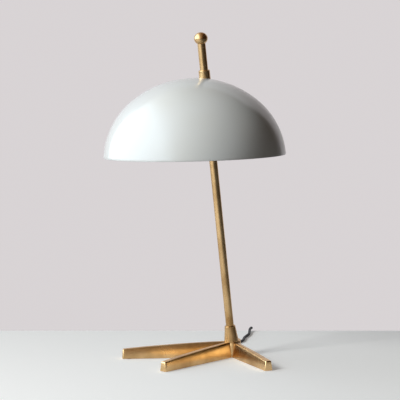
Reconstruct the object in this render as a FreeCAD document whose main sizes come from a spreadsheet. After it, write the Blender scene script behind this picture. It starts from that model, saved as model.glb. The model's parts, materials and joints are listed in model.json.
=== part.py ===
"""Dome shade desk lamp: a bird's-foot brass base, a leaning brass stem with a ball on top, and an
enamelled dome that slides and turns on the stem.

Frame: millimetres, +Z up, origin under the middle of the hub where it stands, -Y towards the front,
+X to the right. The stem leans over the front leg. Parts on the stem are drawn upright about their
own axis and then placed along it, so their local X points the way the stem leans.
"""

import FreeCAD, Part
import Sketcher

import math
import os
import re

from FreeCAD import Placement, Rotation, Vector

# Driving dimensions, in millimetres and degrees: alias, value, what it is.
SIZES = [
    ("pad_thickness", 1.6, "felt pads, height"),
    ("pad_proud", 0.8, "how far the pads stand out of the casting"),
    ("leg_width", 15.0, "legs, width at the bottom"),
    ("leg_draft", 8.0, "legs, slope of the sides from upright"),
    ("leg_end_draft", 3.0, "legs, slope of the end faces from upright"),
    ("leg_end_height", 16.6, "legs, height at the end above the table"),
    ("leg_top_radius", 2600.0, "legs, radius of the long curve of the top"),
    ("leg_edge_radius", 2.6, "legs, rounding of the top edges"),
    ("left_leg_length", 190.0, "left leg, from the hub's middle"),
    ("front_leg_length", 176.0, "front leg, from the hub's middle"),
    ("right_leg_length", 136.5, "right leg, from the hub's middle"),
    ("left_leg_turn", -174.5, "left leg, direction from +X"),
    ("front_leg_turn", -131.8, "front leg, direction from +X, and the way the stem leans"),
    ("right_leg_turn", -65.8, "right leg, direction from +X"),
    ("leg_pad_radius", 5.0, "felt pads under the legs"),
    ("leg_pad_inset", 12.0, "felt pads, from the end of the leg"),
    ("hub_height", 27.4, "hub, height above the table"),
    ("hub_bottom_radius", 14.5, "hub, at the table"),
    ("hub_top_radius", 12.9, "hub, at the cone's top"),
    ("hub_cone_height", 30.6, "hub, cone before it is cut square to the stem"),
    ("recess_radius", 9.5, "wiring recess in the hub"),
    ("recess_top", 16.0, "wiring recess, its ceiling along the stem"),
    ("cover_radius", 12.0, "disc that closes the recess"),
    ("hub_pad_inset", 1.0, "felt disc under the cover, inside its edge"),
    ("cover_thickness", 1.4, "disc that closes the recess"),
    ("nipple_radius", 5.0, "threaded nipple that holds the stem down"),
    ("nipple_bore", 3.6, "threaded nipple, inner radius"),
    ("nipple_end", 11.5, "threaded nipple, lower end along the stem"),
    ("nipple_length", 32.0, "threaded nipple"),
    ("nut_flats", 14.0, "nut under the hub, across flats"),
    ("nut_thickness", 3.0, "nut under the hub"),
    ("washer_thickness", 0.8, "toothed washer under the hub"),
    ("washer_radius", 8.4, "toothed washer under the hub"),
    ("close_fit", 0.05, "radial clearance of screwed and pushed fits"),
    ("running_fit", 0.08, "radial clearance of parts that slide or turn on the stem"),
    ("stem_lean", 8.7, "stem, slope from upright"),
    ("stem_radius", 6.75, "stem tube, outside"),
    ("stem_wall", 1.7, "stem tube, wall"),
    ("stem_top", 539.2, "stem tube, upper end along the stem"),
    ("slot_width", 3.6, "wire slot in the back of the stem"),
    ("ferrule_length", 27.4, "cone at the foot of the stem"),
    ("ferrule_top_radius", 9.2, "cone, at the top"),
    ("ferrule_bottom_radius", 12.3, "cone, at the bottom"),
    ("ferrule_lip", 1.2, "cone, upright band at each end"),
    ("ball_radius", 11.3, "ball on the stem, across"),
    ("ball_half_height", 10.3, "ball on the stem, along"),
    ("ball_spigot", 14.0, "ball, length that goes into the stem"),
    ("shade_radius", 150.0, "dome, at the rim"),
    ("shade_depth", 127.5, "dome, from the rim to the crown"),
    ("shade_shoulder_short", 0.28, "dome, shoulder's radius under the dome's depth"),
    ("shade_rim_slope", 3.55, "dome, slope of its side at the rim from upright"),
    ("shade_thickness", 1.2, "dome, sheet"),
    ("shade_ahead", 16.4, "dome, middle of the rim ahead of the stem's top"),
    ("shade_drop", 183.7, "dome, middle of the rim below the stem's top"),
    ("shade_hole_clearance", 0.3, "hole in the dome, round the spigot"),
    ("shade_droop", 1.4, "dome, how much lower its left side hangs"),
    ("collar_radius", 9.4, "collar on top of the dome"),
    ("collar_height", 14.6, "collar, along the stem"),
    ("collar_chamfer", 0.8, "collar, upper edge"),
    ("spigot_end_gap", 0.5, "spigot, from the floor of the carrier's socket"),
    ("spigot_wall", 1.2, "collar, wall of the threaded spigot through the dome"),
    ("seat_sag", 0.15, "how far the collar's seat reaches below the dome's highest point"),
    ("angle_washer_radius", 14.0, "raked washer inside the dome"),
    ("angle_washer_depth", 9.6, "raked washer, from the dome's outside to its flat side"),
    ("angle_washer_gap", 0.75, "raked washer, from the sheet on the axis"),
    ("wave_washer_thickness", 0.8, "spring washer"),
    ("wave_washer_inset", 1.5, "spring washer, inside the raked washer's edge"),
    ("turned_chamfer", 1.0, "carrier and clamp collar, edges"),
    ("carrier_radius", 15.0, "lampholder carrier on the stem"),
    ("carrier_height", 22.0, "lampholder carrier"),
    ("carrier_socket_depth", 8.0, "carrier, threaded part for the spigot"),
    ("chamber_radius", 11.0, "carrier, wire chamber"),
    ("chamber_height", 8.0, "carrier, wire chamber"),
    ("seat_gap", 0.1, "gap where one part turns on another"),
    ("thrust_washer_thickness", 1.2, "fibre washer that the head turns on"),
    ("thrust_washer_radius", 11.6, "fibre washer"),
    ("clamp_radius", 12.5, "clamp collar under the carrier"),
    ("clamp_height", 14.0, "clamp collar"),
    ("screw_radius", 2.5, "thumb screw, thread"),
    ("screw_head_radius", 6.5, "thumb screw, head"),
    ("screw_head_length", 8.0, "thumb screw, head"),
    ("screw_chamfer", 0.6, "thumb screw, edges"),
    ("screw_tip_gap", 0.2, "thumb screw, from its tip to the stem"),
    ("screw_neck", 2.2, "thumb screw, from the clamp collar to its head"),
    ("travel_up_clearance", 7.1, "room between collar and ball with the head at the top"),
    ("travel_down", 80.0, "how far the head slides down"),
    ("arm_radius", 5.0, "arm tube"),
    ("arm_bore", 2.75, "arm tube, inner radius"),
    ("arm_lead_radius", 2.5, "lead in the arm"),
    ("arm_root_gap", 0.5, "arm, from the wire chamber"),
    ("arm_straight", 6.0, "arm, straight part at the carrier"),
    ("arm_bend_radius", 14.0, "arm, curve of its axis"),
    ("arm_bend", 35.0, "arm, how far it bends down"),
    ("arm_end", 9.0, "arm, straight part at the lampholder"),
    ("holder_radius", 17.0, "lampholder, outside"),
    ("holder_wall", 0.8, "lampholder shell"),
    ("holder_cap_height", 14.0, "lampholder cap"),
    ("holder_neck_radius", 7.4, "lampholder cap, neck"),
    ("holder_neck_height", 6.0, "lampholder cap, neck"),
    ("holder_cap_lip", 0.4, "lampholder cap, its rim beyond the shell"),
    ("holder_cap_rim", 4.0, "lampholder cap, upright rim"),
    ("holder_length", 38.0, "lampholder shell"),
    ("holder_bead", 0.9, "lampholder shell, bead at its mouth"),
    ("liner_thickness", 0.6, "insulating sleeve in the lampholder"),
    ("switch_block_bore", 2.0, "switch block in the lampholder, hole"),
    ("switch_block_height", 14.0, "switch block in the lampholder"),
    ("screw_shell_radius", 13.4, "contact shell, inside"),
    ("screw_shell_wall", 0.5, "contact shell"),
    ("centre_contact_radius", 3.5, "centre contact"),
    ("centre_contact_height", 1.6, "centre contact"),
    ("spindle_radius", 1.6, "switch spindle"),
    ("spindle_from_top", 21.0, "switch spindle, below the holder's top"),
    ("knob_stand_off", 3.0, "switch knob, from the holder"),
    ("knob_width", 16.0, "switch knob, across"),
    ("knob_thickness", 5.0, "switch knob, through"),
    ("knob_length", 10.0, "switch knob, along its spindle"),
    ("bulb_radius", 22.5, "bulb, globe"),
    ("bulb_glass_wall", 0.8, "bulb, glass"),
    ("bulb_visible", 52.0, "bulb, from the holder to its tip"),
    ("bulb_neck_radius", 11.6, "bulb, neck"),
    ("bulb_cap_radius", 12.9, "bulb, screw cap"),
    ("bulb_cap_length", 21.0, "bulb, screw cap"),
    ("bulb_thread_start", 5.0, "bulb, screw cap, from its end to the thread"),
    ("bulb_thread_depth", 1.2, "bulb, screw cap, taper at the start of the thread"),
    ("bulb_tip_radius", 4.0, "bulb, insulator at the tip"),
    ("bulb_contact_height", 0.5, "bulb, contact at the tip"),
    ("bulb_neck_engagement", 3.0, "bulb, neck's length in the cap"),
    ("bulb_mount_radius", 1.8, "bulb, glass post"),
    ("filament_length", 20.0, "bulb, light sticks"),
    ("filament_radius", 0.55, "bulb, light sticks"),
    ("filament_spread", 5.0, "bulb, light sticks, how far they lean out"),
    ("cord_radius", 2.5, "mains lead"),
    ("bush_radius", 3.55, "cord bush, in the casting"),
    ("bush_flange_radius", 5.4, "cord bush, flange"),
    ("bush_plug", 4.0, "cord bush, length in the casting"),
    ("bush_flange", 2.0, "cord bush, flange thickness"),
    ("bush_tail", 24.0, "cord bush, tapered tail"),
    ("bush_tail_start_radius", 4.3, "cord bush, tail at the flange"),
    ("bush_tail_end_radius", 3.2, "cord bush, tail at its end"),
    ("cord_axis_along_stem", 7.3, "where the lead's line meets the stem's axis"),
    ("cord_boss_radius", 6.4, "boss at the back of the hub, round the lead"),
    ("cord_boss_reach", 15.5, "boss, flat face from the hub's middle"),
    ("riser_bend_radius", 6.0, "lead in the hub, curve up into the stem"),
    ("coil_x", 5.0, "coil, middle"),
    ("coil_y", 302.0, "coil, middle"),
    ("coil_outer_radius", 40.5, "coil, outer turn"),
    ("coil_pitch", 5.6, "coil, from turn to turn and from layer to layer"),
    ("coil_climb_inset", 1.0, "coil, how far it swings in where it climbs to the upper layer"),
    ("coil_tail", 12.0, "coil, straight ends"),
    ("floor_clearance", 0.05, "lead, above the table"),
    ("plug_relief", 24.0, "plug, tapered tail"),
    ("plug_relief_radius", 5.0, "plug, tail at the body"),
    ("plug_sleeve", 0.3, "plug, tail's wall at its thin end"),
    ("plug_length", 36.0, "plug, body"),
    ("plug_width", 23.0, "plug, body"),
    ("plug_height", 15.0, "plug, body"),
    ("plug_edge_radius", 3.5, "plug, edges"),
    ("blade_length", 17.0, "plug blades, length that shows"),
    ("blade_width", 6.3, "plug blades"),
    ("blade_thickness", 1.5, "plug blades"),
    ("blade_spacing", 12.7, "plug blades, apart"),
]
COIL_TURNS = 4  # turns in each of the coil's two layers, before the quarter that faces the plug

# The lead's free stretch, from the cord bush over the table to the coil: x, y, height of its middle.
CORD_POINTS = [
    (-0.2, 56.0, 6.0),
    (1.0, 76.0, 3.4),
    (3.4, 98.0, 2.55),
    (9.5, 117.0, 2.55),
    (19.0, 130.0, 2.55),
    (22.6, 147.0, 2.55),
    (24.2, 167.0, 2.55),
    (29.6, 185.0, 2.55),
    (34.2, 204.0, 2.55),
    (35.6, 224.0, 2.75),
    (36.6, 240.0, 5.4),
    (40.2, 252.0, 6.0),
    (43.6, 268.0, 3.2),
]

doc = FreeCAD.newDocument("lamp")
sheet = doc.addObject("Spreadsheet::Sheet", "Dims")
for row, (alias, value, meaning) in enumerate(SIZES, start=1):
    sheet.set(f"A{row}", meaning)
    sheet.set(f"B{row}", str(value))
    sheet.setAlias(f"B{row}", alias)
doc.recompute()
NAMES = {alias for alias, value, meaning in SIZES}
nodes = []


def bound(text):
    """An expression in which the sheet's names stand alone, as FreeCAD reads it."""
    return re.sub(r"[a-z][a-z_]*", lambda m: "Dims." + m[0] if m[0] in NAMES else m[0], text)


def size(text):
    """The value of such an expression."""
    return float(getattr(sheet.evalExpression(bound(text)), "Value", sheet.evalExpression(bound(text))))


def node(thing, label):
    """Makes a document object one of the lamp's sub-parts."""
    thing.Label = label
    nodes.append(thing)
    return thing


def plane_of(body, role):
    """One of a body's own origin planes."""
    return next(f for f in body.Origin.OriginFeatures if f.Role == role)


def body_with_sketch(name, role, turn=0.0):
    """An empty body and a sketch on one of its planes, turned about the body's Z."""
    body = doc.addObject("PartDesign::Body", name)
    sketch = body.newObject("Sketcher::SketchObject", name + "_outline")
    sketch.AttachmentSupport = (plane_of(body, role), "")
    sketch.MapMode = "FlatFace"
    return body, sketch


def pin_point(sketch, geometry, end, x, y):
    """Holds one end of a sketch edge at x, y, which are expressions."""
    for kind, text in (("DistanceX", x), ("DistanceY", y)):
        if text == "0":
            axis = -2 if kind == "DistanceX" else -1
            sketch.addConstraint(Sketcher.Constraint("PointOnObject", geometry, end, axis))
            continue
        index = sketch.addConstraint(Sketcher.Constraint(kind, -1, 1, geometry, end, size(text)))
        sketch.setExpression(f"Constraints[{index}]", bound(text))


def outline(sketch, points):
    """A closed outline. Each point is x, y and, where an arc follows it, the arc's radius and the
    side that it bulges to: 1 to the left of the way along, -1 to the right."""
    places = [Vector(size(p[0]), size(p[1]), 0) for p in points]
    first = sketch.GeometryCount
    for i, point in enumerate(points):
        start, end = places[i], places[(i + 1) % len(points)]
        if len(point) == 2:
            sketch.addGeometry(Part.LineSegment(start, end), False)
            continue
        radius, side = size(point[2]), point[3]
        chord = end - start
        left = Vector(-chord.y, chord.x, 0).normalize()
        sag = radius - math.sqrt(radius**2 - (chord.Length / 2) ** 2)
        sketch.addGeometry(Part.Arc(start, (start + end) * 0.5 + left * (side * sag), end), False)
    for i, point in enumerate(points):
        after = (i + 1) % len(points)
        starts = ends_of(sketch, first + i, places[i])
        joins = ends_of(sketch, first + i, places[after])
        onward = ends_of(sketch, first + after, places[after])
        sketch.addConstraint(Sketcher.Constraint("Coincident", first + i, joins, first + after, onward))
        pin_point(sketch, first + i, starts, point[0], point[1])
        if len(point) > 2:
            index = sketch.addConstraint(Sketcher.Constraint("Radius", first + i, size(point[2])))
            sketch.setExpression(f"Constraints[{index}]", bound(point[2]))


def ends_of(sketch, geometry, place):
    """1 or 2: which end of a sketch edge lies nearer to a place."""
    edge = sketch.Geometry[geometry]
    return 1 if edge.StartPoint.distanceToPoint(place) <= edge.EndPoint.distanceToPoint(place) else 2


def turned(name, points, placement=None):
    """A turned piece: an outline of radius and height, spun about Z."""
    body, sketch = body_with_sketch(name, "XZ_Plane")
    outline(sketch, points)
    spin = body.newObject("PartDesign::Revolution", name + "_spin")
    spin.Profile = sketch
    spin.ReferenceAxis = (sketch, ["V_Axis"])
    spin.Angle = 360
    body.Placement = placement or Placement()
    return body


def tube(name, outer, inner, low, high, placement=None):
    """A plain ring or tube."""
    return turned(name, [(inner, low), (outer, low), (outer, high), (inner, high)], placement)


def round_bar(name, radius, height, placement, offset=0.0):
    """A Part cylinder along the placement's Z, moved back by offset."""
    bar = doc.addObject("Part::Cylinder", name)
    bar.setExpression("Radius", bound(radius))
    bar.setExpression("Height", bound(height))
    bar.Placement = placement.multiply(Placement(Vector(0, 0, offset), Rotation()))
    return bar


def block(name, length, width, height, placement):
    """A Part box with its underside centred on the placement."""
    box = doc.addObject("Part::Box", name)
    box.setExpression("Length", bound(length))
    box.setExpression("Width", bound(width))
    box.setExpression("Height", bound(height))
    corner = Vector(-size(length) / 2, -size(width) / 2, 0)
    box.Placement = placement.multiply(Placement(corner, Rotation()))
    return box


def cut(name, base, *tools):
    """base without the tools."""
    for number, tool in enumerate(tools):
        last = number == len(tools) - 1
        step = doc.addObject("Part::Cut", name if last else f"{name}_cut{number}")
        step.Base, step.Tool = base, tool
        base = step
    return base


def fused(name, *parts):
    """The parts as one solid."""
    whole = doc.addObject("Part::MultiFuse", name)
    whole.Shapes = list(parts)
    whole.Refine = True
    return whole


def edges_where(shape, test):
    """The names of the edges whose middle and direction pass a test."""
    found = []
    for number, edge in enumerate(shape.Edges, start=1):
        middle = edge.valueAt((edge.FirstParameter + edge.LastParameter) / 2)
        ends = edge.Vertexes[-1].Point - edge.Vertexes[0].Point
        if test(middle, ends):
            found.append(f"Edge{number}")
    return found


# ---- where things are -------------------------------------------------------------------------

LEAN = Rotation(Vector(0, 0, 1), size("front_leg_turn")).multiply(
    Rotation(Vector(0, 1, 0), size("stem_lean"))
)
STEM = LEAN.multVec(Vector(0, 0, 1))
UP = Vector(0, 0, 1)


def on_stem(along):
    """The placement of a piece that starts at that distance along the stem."""
    return Placement(STEM * along, LEAN)


def facing(origin, direction):
    """A placement at origin whose Z points that way."""
    return Placement(origin, Rotation(UP, direction))


lean_way = Rotation(UP, size("front_leg_turn")).multVec(Vector(1, 0, 0))
shade_place = Placement(
    STEM * size("stem_top") + lean_way * size("shade_ahead") - UP * size("shade_drop"),
    Rotation(Vector(0, 1, 0), -size("shade_droop")),
)

# The dome's side view: a shoulder arc up from the rim and a tangent crown arc about the dome's axis.
shoulder_radius = "(shade_depth - shade_shoulder_short)"
shoulder_out = f"(shade_radius - {shoulder_radius} * cos(shade_rim_slope * 1deg))"
shoulder_down = f"(shade_depth + {shoulder_radius} * sin(shade_rim_slope * 1deg))"
crown_radius = (
    f"(({shoulder_out} * {shoulder_out} + {shoulder_down} * {shoulder_down}"
    f" - {shoulder_radius} * {shoulder_radius}) / (2 * ({shoulder_down} - {shoulder_radius})))"
)
crown_drop = f"({crown_radius} - shade_depth)"

# The stem's axis leaves the dome through its crown, which is part of a ball.
crown_middle = shade_place.multVec(Vector(0, 0, -size(crown_drop)))
along_middle = crown_middle.dot(STEM)
off_axis = (crown_middle - STEM * along_middle).Length
crossing = along_middle + math.sqrt(size(crown_radius) ** 2 - off_axis**2)
dome_normal = (STEM * crossing - crown_middle).normalize()

washer_flat = crossing - size("angle_washer_depth")
carrier_top = washer_flat - size("wave_washer_thickness + 2 * seat_gap")
carrier_bottom = carrier_top - size("carrier_height")
chamber_top = carrier_top - size("carrier_socket_depth")
chamber_middle = chamber_top - size("chamber_height / 2")
thrust_bottom = carrier_bottom - size("seat_gap + thrust_washer_thickness")
clamp_bottom = thrust_bottom - size("clamp_height")
hub_seat = size("hub_height / cos(stem_lean * 1deg)")
travel_up = size("stem_top - collar_height - travel_up_clearance") - crossing
cord_line = STEM * size("cord_axis_along_stem")


# ---- base ----------------------------------------------------------------------------------------

SIDES = ("left", "front", "right")


def leg(name, length, turn):
    """One leg: a side view with a long curved top, cut to a drafted section."""
    body, side_view = body_with_sketch(name, "XZ_Plane")
    end_top = f"{length} - leg_end_height * tan(leg_end_draft * 1deg)"
    outline(
        side_view,
        [
            ("0", "pad_proud"),
            (length, "pad_proud"),
            (end_top, "leg_end_height", "leg_top_radius", -1),
            ("0", "hub_height"),
        ],
    )
    pad = body.newObject("PartDesign::Pad", name + "_pad")
    pad.Profile = side_view
    pad.setExpression("Length", bound("leg_width"))
    pad.Midplane = True
    doc.recompute()
    before = body.Shape.Volume
    section = body.newObject("Sketcher::SketchObject", name + "_section")
    section.AttachmentSupport = (plane_of(body, "YZ_Plane"), "")
    section.MapMode = "FlatFace"
    top = "(hub_height + leg_edge_radius)"
    beside = "(leg_width / 2 + leg_edge_radius)"
    for sign in ("", "-"):
        foot = f"{sign}(leg_width / 2)"
        narrow = f"{sign}(leg_width / 2 - {top} * tan(leg_draft * 1deg))"
        outline(section, [(foot, "0"), (sign + beside, "0"), (sign + beside, top), (narrow, top)])
    trim = body.newObject("PartDesign::Pocket", name + "_draft")
    trim.Profile = section
    trim.Type = 1
    trim.Midplane = True
    doc.recompute()
    if not body.Shape.Volume < before:
        raise ValueError(f"{name}: the draft cut nothing")
    rounded = body.newObject("PartDesign::Fillet", name + "_rounding")
    reach = size("leg_edge_radius")
    low = size("pad_proud") + reach / 2
    sharp = edges_where(trim.Shape, lambda m, e: m.z > low and m.x > reach and e.Length > reach)
    rounded.Base = (trim, sharp)
    rounded.setExpression("Radius", bound("leg_edge_radius"))
    body.Placement = Placement(Vector(), Rotation(UP, size(turn)))
    return body


def pad_hole(name, radius, height, place):
    """A round shape on the table, for a felt pad or for its recess."""
    return round_bar(name, radius, height, Placement(place, Rotation()))


def leg_pad_places():
    """The middle of each leg's felt pad, on the table."""
    for side in SIDES:
        way = Rotation(UP, size(f"{side}_leg_turn")).multVec(Vector(1, 0, 0))
        yield side, way * size(f"{side}_leg_length - leg_pad_inset")


legs = [leg(f"{side}_leg", f"{side}_leg_length", f"{side}_leg_turn") for side in SIDES]
hub = turned(
    "hub",
    [
        ("0", "pad_proud"),
        ("hub_bottom_radius", "pad_proud"),
        ("hub_top_radius", "hub_cone_height"),
        ("0", "hub_cone_height"),
    ],
)
above_hub = block("above_hub", "6 * hub_top_radius", "6 * hub_top_radius", "hub_height", on_stem(hub_seat))
hub_cut = cut("hub_raked", hub, above_hub)
cord_way = Placement(Vector(cord_line.x, 0, cord_line.z), Rotation(UP, Vector(0, 1, 0)))
cord_boss = round_bar("cord_boss", "cord_boss_radius", "cord_boss_reach", cord_way)
below_casting = Placement(Vector(0, 0, -size("hub_height")), Rotation())
wide = "4 * hub_bottom_radius"
below_table = block("below_casting", wide, wide, "hub_height + pad_proud", below_casting)
rough = cut("foot_rough", fused("foot_fused", *legs, hub_cut, cord_boss), below_table)
tools = [
    round_bar("ferrule_seat", "ferrule_bottom_radius + seat_gap", "hub_height", on_stem(hub_seat)),
    round_bar("nipple_hole", "nipple_radius + close_fit", "2 * hub_height", on_stem(0)),
    round_bar("recess", "recess_radius", "2 * recess_top", on_stem(0), -size("recess_top")),
    round_bar("cover_step", "cover_radius + close_fit", "pad_proud + cover_thickness", Placement()),
    round_bar("bush_hole", "bush_radius + close_fit", "2 * cord_boss_reach", cord_way),
]
for side, place in leg_pad_places():
    tools.append(pad_hole(f"{side}_pad_recess", "leg_pad_radius + close_fit", "pad_thickness", place))
node(cut("foot_casting", rough, *tools), "foot_casting")

leg_pads = [pad_hole(f"{side}_pad", "leg_pad_radius", "pad_thickness", at) for side, at in leg_pad_places()]
node(fused("leg_pads", *leg_pads), "leg_pads")
node(pad_hole("hub_pad", "cover_radius - hub_pad_inset", "pad_proud", Vector()), "hub_pad")
node(pad_hole("hub_cover", "cover_radius", "cover_thickness", UP * size("pad_proud")), "hub_cover")

nipple_place = on_stem(size("nipple_end"))
node(tube("stem_nipple", "nipple_radius", "nipple_bore", "0", "nipple_length", nipple_place), "stem_nipple")
washer_at = size("recess_top - washer_thickness")
washer_hole = "nipple_radius + close_fit"
lock_washer = tube("lock_washer", "washer_radius", washer_hole, "0", "washer_thickness", on_stem(washer_at))
node(lock_washer, "lock_washer")
hexagon = doc.addObject("Part::Prism", "nut_blank")
hexagon.Polygon = 6
hexagon.setExpression("Circumradius", bound("nut_flats / 2 / cos(30deg)"))
hexagon.setExpression("Height", bound("nut_thickness"))
nut_at = washer_at - size("nut_thickness")
hexagon.Placement = on_stem(nut_at)
nut_hole = round_bar("nut_hole", "nipple_radius + close_fit", "nut_thickness", on_stem(nut_at))
node(cut("nipple_nut", hexagon, nut_hole), "nipple_nut")

flange_top = "(cord_boss_reach + bush_flange)"
tail_top = f"({flange_top} + bush_tail)"
cord_bush = turned(
    "cord_bush",
    [
        ("cord_radius + close_fit", "cord_boss_reach - bush_plug"),
        ("bush_radius", "cord_boss_reach - bush_plug"),
        ("bush_radius", "cord_boss_reach"),
        ("bush_flange_radius", "cord_boss_reach"),
        ("bush_flange_radius", flange_top),
        ("bush_tail_start_radius", flange_top),
        ("bush_tail_end_radius", tail_top),
        ("cord_radius + close_fit", tail_top),
    ],
    cord_way,
)
node(cord_bush, "cord_bush")

ferrule_profile = [
    ("stem_radius + close_fit", "0"),
    ("ferrule_bottom_radius", "0"),
    ("ferrule_bottom_radius", "ferrule_lip"),
    ("ferrule_top_radius", "ferrule_length - ferrule_lip"),
    ("ferrule_top_radius", "ferrule_length - ferrule_lip / 2"),
    ("ferrule_top_radius - ferrule_lip / 2", "ferrule_length"),
    ("stem_radius + close_fit", "ferrule_length"),
]
node(turned("stem_ferrule", ferrule_profile, on_stem(hub_seat)), "stem_ferrule")

stem_bore = "(stem_radius - stem_wall)"
stem_blank = tube("stem_blank", "stem_radius", stem_bore, "0", f"stem_top - {hub_seat}", on_stem(hub_seat))
slot_low = chamber_middle - size("travel_down + slot_width")
slot_high = chamber_middle + travel_up
slot_place = on_stem(slot_low).multiply(Placement(Vector(-size("stem_radius"), 0, 0), Rotation()))
slot = block("wire_slot", "3 * stem_wall", "slot_width", f"{slot_high - slot_low}", slot_place)
node(cut("stem_tube", stem_blank, slot), "stem_tube")

ball_seat = "(ball_half_height * sqrt(1 - pow(stem_radius / ball_radius; 2)))"
ball_place = on_stem(size(f"stem_top + {ball_seat}"))
whole_ball = doc.addObject("Part::Ellipsoid", "whole_ball")
whole_ball.setExpression("Radius1", bound("ball_half_height"))
whole_ball.setExpression("Radius2", bound("ball_radius"))
whole_ball.setExpression("Radius3", bound("ball_radius"))
whole_ball.Angle1 = -90
whole_ball.Placement = ball_place
below_ball_place = on_stem(size("stem_top - ball_radius"))
below_ball = block("below_ball", "4 * ball_radius", "4 * ball_radius", "ball_radius", below_ball_place)
spigot_place = on_stem(size("stem_top - ball_spigot"))
spigot_length = "ball_spigot + ball_half_height / 4"
ball_spigot = round_bar("ball_spigot", f"{stem_bore} - close_fit", spigot_length, spigot_place)
node(fused("ball_knob", cut("flat_ball", whole_ball, below_ball), ball_spigot), "ball_knob")


# ---- leads ----------------------------------------------------------------------------------------


def rounded_path(points, radii=None):
    """Straight runs joined by tangent arcs. Each arc is as large as its runs allow, or as given."""
    edges, at = [], points[0]
    sizes = []
    for i in range(1, len(points) - 1):
        back_way, on_way = points[i - 1] - points[i], points[i + 1] - points[i]
        half_turn = (math.pi - back_way.getAngle(on_way)) / 2
        shorter = min(back_way.Length, on_way.Length)
        radius = radii or 0.45 * shorter / math.tan(half_turn)
        reach = radius * math.tan(half_turn)
        sizes.append(radius)
        back_way, on_way = back_way.normalize(), on_way.normalize()
        start, end = points[i] + back_way * reach, points[i] + on_way * reach
        inward = (back_way + on_way).normalize()
        middle = points[i] + inward * (radius / math.cos(half_turn) - radius)
        edges.append(Part.LineSegment(at, start).toShape())
        edges.append(Part.Arc(start, middle, end).toShape())
        at = end
    edges.append(Part.LineSegment(at, points[-1]).toShape())
    return Part.Wire(edges), sizes


def swept(label, wire, radius):
    """A round bar along a wire, as a sub-part."""
    start = wire.Edges[0]
    along = start.tangentAt(start.FirstParameter)
    profile = Part.Wire(Part.makeCircle(radius, start.Vertexes[0].Point, along))
    solid = Part.Wire(wire.Edges).makePipeShell([profile], True, False)
    feature = doc.addObject("Part::Feature", label)
    feature.Shape = solid
    feature.Placement = Placement()
    expected = math.pi * radius**2 * wire.Length
    print(f"{label}: {wire.Length:.1f} mm, volume {solid.Volume:.0f}, section times length {expected:.0f}")
    return node(feature, label)


cord_radius = size("cord_radius")
cord_exit = Vector(cord_line.x, size(tail_top), cord_line.z)
riser_end = slot_low + size("slot_width")
riser, riser_radii = rounded_path([cord_exit, cord_line, STEM * riser_end], size("riser_bend_radius"))
swept("riser_cable", riser, cord_radius)


def biarc(start, start_way, end, end_way):
    """Two arcs, or two straight edges, from one point and direction to another."""
    across = end - start
    both = start_way + end_way
    a = 2 * (1 - start_way.dot(end_way))
    b = across.dot(both)
    reach = (math.sqrt(b * b + a * across.dot(across)) - b) / a
    middle = (start + start_way * reach + end - end_way * reach) * 0.5
    return [arc_from(start, start_way, middle), arc_from(end, end_way * -1, middle)]


def arc_from(start, way, end):
    """The arc that leaves start along way and reaches end."""
    chord = end - start
    angle = way.getAngle(chord)
    side = (way - chord * (way.dot(chord) / chord.dot(chord))).normalize()
    middle = start + chord * 0.5 + side * (chord.Length / 2 * math.tan(angle / 2))
    return Part.Arc(start, middle, end).toShape()


def coil_radius(turns):
    """The radius of the coil's line after that many turns."""
    inward = min(turns, COIL_TURNS)
    outward = max(0.0, turns - COIL_TURNS - 0.5)
    halfway = turns == COIL_TURNS + 0.25
    swing = halfway * size("coil_climb_inset")
    return size("coil_outer_radius") - size("coil_pitch") * (inward - outward) - swing


def coil_point(turns):
    """A point of the coil's line: in on the table, up in the half turn inside, and out on top."""
    angle = 2 * math.pi * turns
    radius = coil_radius(turns)
    climb = min(1.0, max(0.0, (turns - COIL_TURNS) / 0.5))
    height = cord_radius + size("floor_clearance") + size("coil_pitch") * climb
    return Vector(
        size("coil_x") + radius * math.cos(angle), size("coil_y") + radius * math.sin(angle), height
    )


def coil_wire():
    """The coil's line as quarter turns, with a straight end towards the lead and one towards the plug."""
    quarters = [i / 4 for i in range(int((2 * COIL_TURNS + 0.25) * 4) + 1)]
    points = [coil_point(q) for q in quarters]
    ways = []
    for q in quarters:
        angle = 2 * math.pi * q
        ways.append(Vector(-math.sin(angle), math.cos(angle), 0))
    tail = size("coil_tail")
    edges = [Part.LineSegment(points[0] - ways[0] * tail, points[0]).toShape()]
    for i in range(len(points) - 1):
        edges += biarc(points[i], ways[i], points[i + 1], ways[i + 1])
    edges.append(Part.LineSegment(points[-1], points[-1] + ways[-1] * tail).toShape())
    wire = Part.Wire(Part.__sortEdges__(edges))
    print(f"cord_coil: least gap to itself {nearest_turns(wire) - 2 * cord_radius:.2f} mm")
    return wire, points[0] - ways[0] * tail, points[-1] + ways[-1] * tail, ways[-1]


def nearest_turns(wire):
    """The least distance between two stretches of a wire that don't follow on each other."""
    spaced = wire.discretize(Distance=1.0)
    near = 3 * cord_radius
    nearest = wire.Length
    for i, place in enumerate(spaced):
        for other in spaced[i + int(2 * near):]:
            if abs(place.x - other.x) < near and abs(place.y - other.y) < near:
                nearest = min(nearest, (place - other).Length)
    return nearest


coil, coil_start, plug_entry, plug_way = coil_wire()
route = [cord_exit] + [Vector(*p) for p in CORD_POINTS] + [coil_start]
lead, lead_radii = rounded_path(route)
print("mains_cord: radii " + ", ".join(f"{r:.0f}" for r in lead_radii) + " mm")
swept("mains_cord", lead, cord_radius)
swept("cord_coil", coil, cord_radius)


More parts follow.
